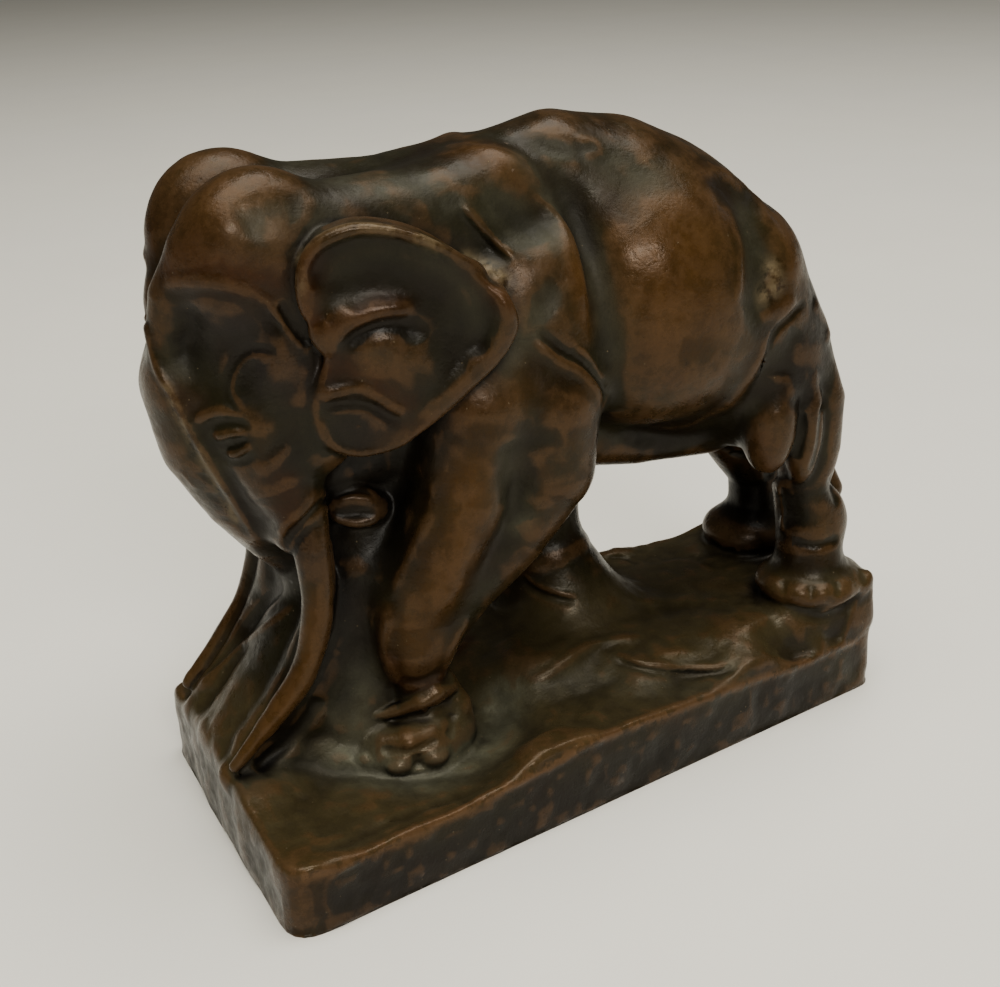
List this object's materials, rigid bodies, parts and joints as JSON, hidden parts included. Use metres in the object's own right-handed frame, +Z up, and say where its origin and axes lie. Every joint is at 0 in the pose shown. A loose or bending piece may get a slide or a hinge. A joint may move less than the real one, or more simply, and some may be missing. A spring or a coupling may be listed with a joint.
{
  "type": "elephant sculpture",
  "caption": "Cast elephant with raised domed head, spread ears and down-curving tusks, striding over a sloping wedge-shaped ground plinth with a flat underside.",
  "frame": {"origin": "on the underside, at the middle of the plinth's length and under the figure's own middle plane", "axes": "+X from the head to the tail along the plinth's length, +Y to the figure's right-hand side, +Z up; the underside faces -Z"},
  "size_m": [0.173, 0.0903, 0.15],
  "materials": {
    "brass": "brown chemical patina, worn to a golden brown on the high points, semi-gloss"
  },
  "bodies": {
    "root": {"elephant_casting": "brass"}
  },
  "joints": []
}
